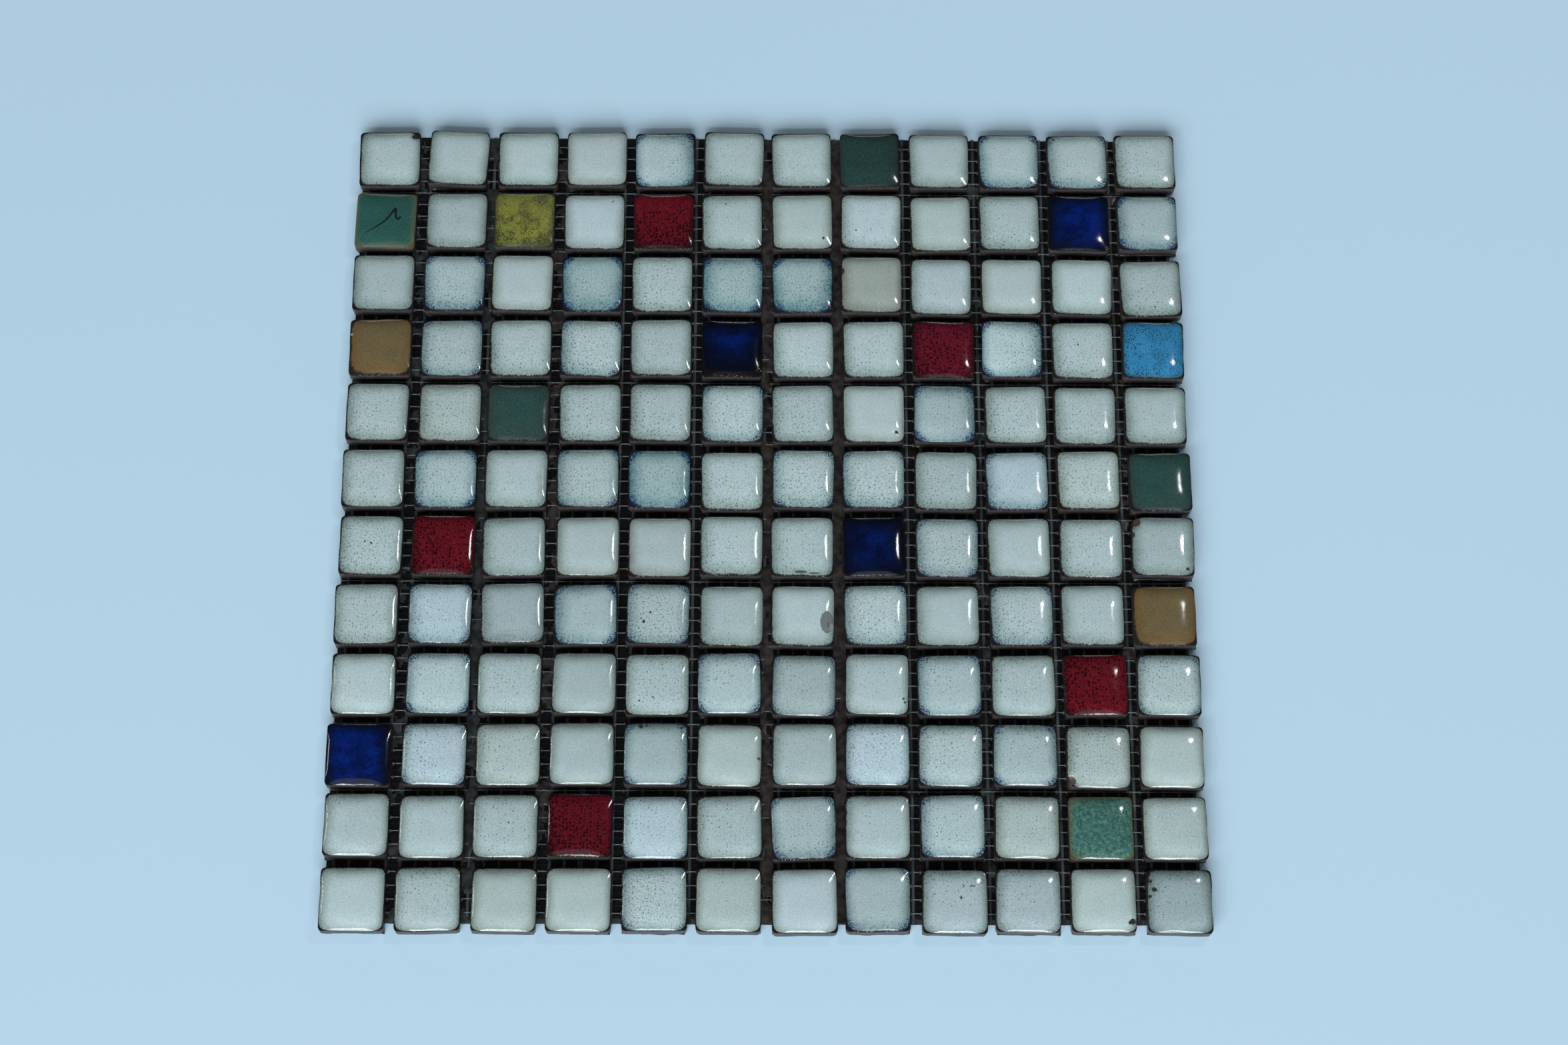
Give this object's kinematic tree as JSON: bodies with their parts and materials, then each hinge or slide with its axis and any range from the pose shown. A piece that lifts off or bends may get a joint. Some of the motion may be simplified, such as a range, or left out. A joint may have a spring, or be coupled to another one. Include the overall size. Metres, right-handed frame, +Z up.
{
  "type": "ceramic mosaic tile sheet",
  "caption": "Square mosaic sheet of small pillowed glazed stoneware chips, mostly speckled off-white with scattered coloured ones, set in an even grid on a mesh backing with open joints.",
  "frame": {"origin": "middle of the sheet's footprint, on the underside of its mesh backing", "axes": "+Z up out of the glazed faces, +Y towards the first row of chips, +X along the rows towards the last column"},
  "size_m": [0.3024, 0.3027, 0.0071],
  "materials": {
    "white_glaze": "gloss",
    "red_glaze": "gloss",
    "cobalt_glaze": "gloss",
    "dark_green_glaze": "gloss",
    "ochre_glaze": "gloss",
    "sea_green_glaze": "satin",
    "jade_glaze": "gloss",
    "olive_glaze": "satin",
    "sky_blue_glaze": "gloss",
    "mesh_backing": "matte"
  },
  "bodies": {
    "root": {"cobalt_chip_row02_column11": "cobalt_glaze", "cobalt_chip_row04_column06": "cobalt_glaze", "cobalt_chip_row07_column08": "cobalt_glaze", "cobalt_chip_row10_column01": "cobalt_glaze", "dark_green_chip_row01_column08": "dark_green_glaze", "dark_green_chip_row05_column03": "dark_green_glaze", "dark_green_chip_row06_column12": "dark_green_glaze", "jade_chip_row11_column11": "jade_glaze", "mesh_backing_with_inner_chips": "white_glaze", "ochre_chip_row04_column01": "ochre_glaze", "ochre_chip_row08_column12": "ochre_glaze", "olive_chip_row02_column03": "olive_glaze", "red_chip_row02_column05": "red_glaze", "red_chip_row04_column09": "red_glaze", "red_chip_row07_column02": "red_glaze", "red_chip_row09_column11": "red_glaze", "red_chip_row11_column04": "red_glaze", "sea_green_chip_row02_column01": "sea_green_glaze", "sky_blue_chip_row04_column12": "sky_blue_glaze", "white_chip_row01_column01": "white_glaze", "white_chip_row01_column02": "white_glaze", "white_chip_row01_column03": "white_glaze", "white_chip_row01_column04": "white_glaze", "white_chip_row01_column05": "white_glaze", "white_chip_row01_column06": "white_glaze", "white_chip_row01_column07": "white_glaze", "white_chip_row01_column09": "white_glaze", "white_chip_row01_column10": "white_glaze", "white_chip_row01_column11": "white_glaze", "white_chip_row01_column12": "white_glaze", "white_chip_row02_column12": "white_glaze", "white_chip_row03_column01": "white_glaze", "white_chip_row03_column12": "white_glaze", "white_chip_row05_column01": "white_glaze", "white_chip_row05_column12": "white_glaze", "white_chip_row06_column01": "white_glaze", "white_chip_row07_column01": "white_glaze", "white_chip_row07_column12": "white_glaze", "white_chip_row08_column01": "white_glaze", "white_chip_row09_column01": "white_glaze", "white_chip_row09_column12": "white_glaze", "white_chip_row10_column12": "white_glaze", "white_chip_row11_column01": "white_glaze", "white_chip_row11_column12": "white_glaze", "white_chip_row12_column01": "white_glaze", "white_chip_row12_column02": "white_glaze", "white_chip_row12_column03": "white_glaze", "white_chip_row12_column04": "white_glaze", "white_chip_row12_column05": "white_glaze", "white_chip_row12_column06": "white_glaze", "white_chip_row12_column07": "white_glaze", "white_chip_row12_column08": "white_glaze", "white_chip_row12_column09": "white_glaze", "white_chip_row12_column10": "white_glaze", "white_chip_row12_column11": "white_glaze", "white_chip_row12_column12": "white_glaze"}
  },
  "joints": []
}
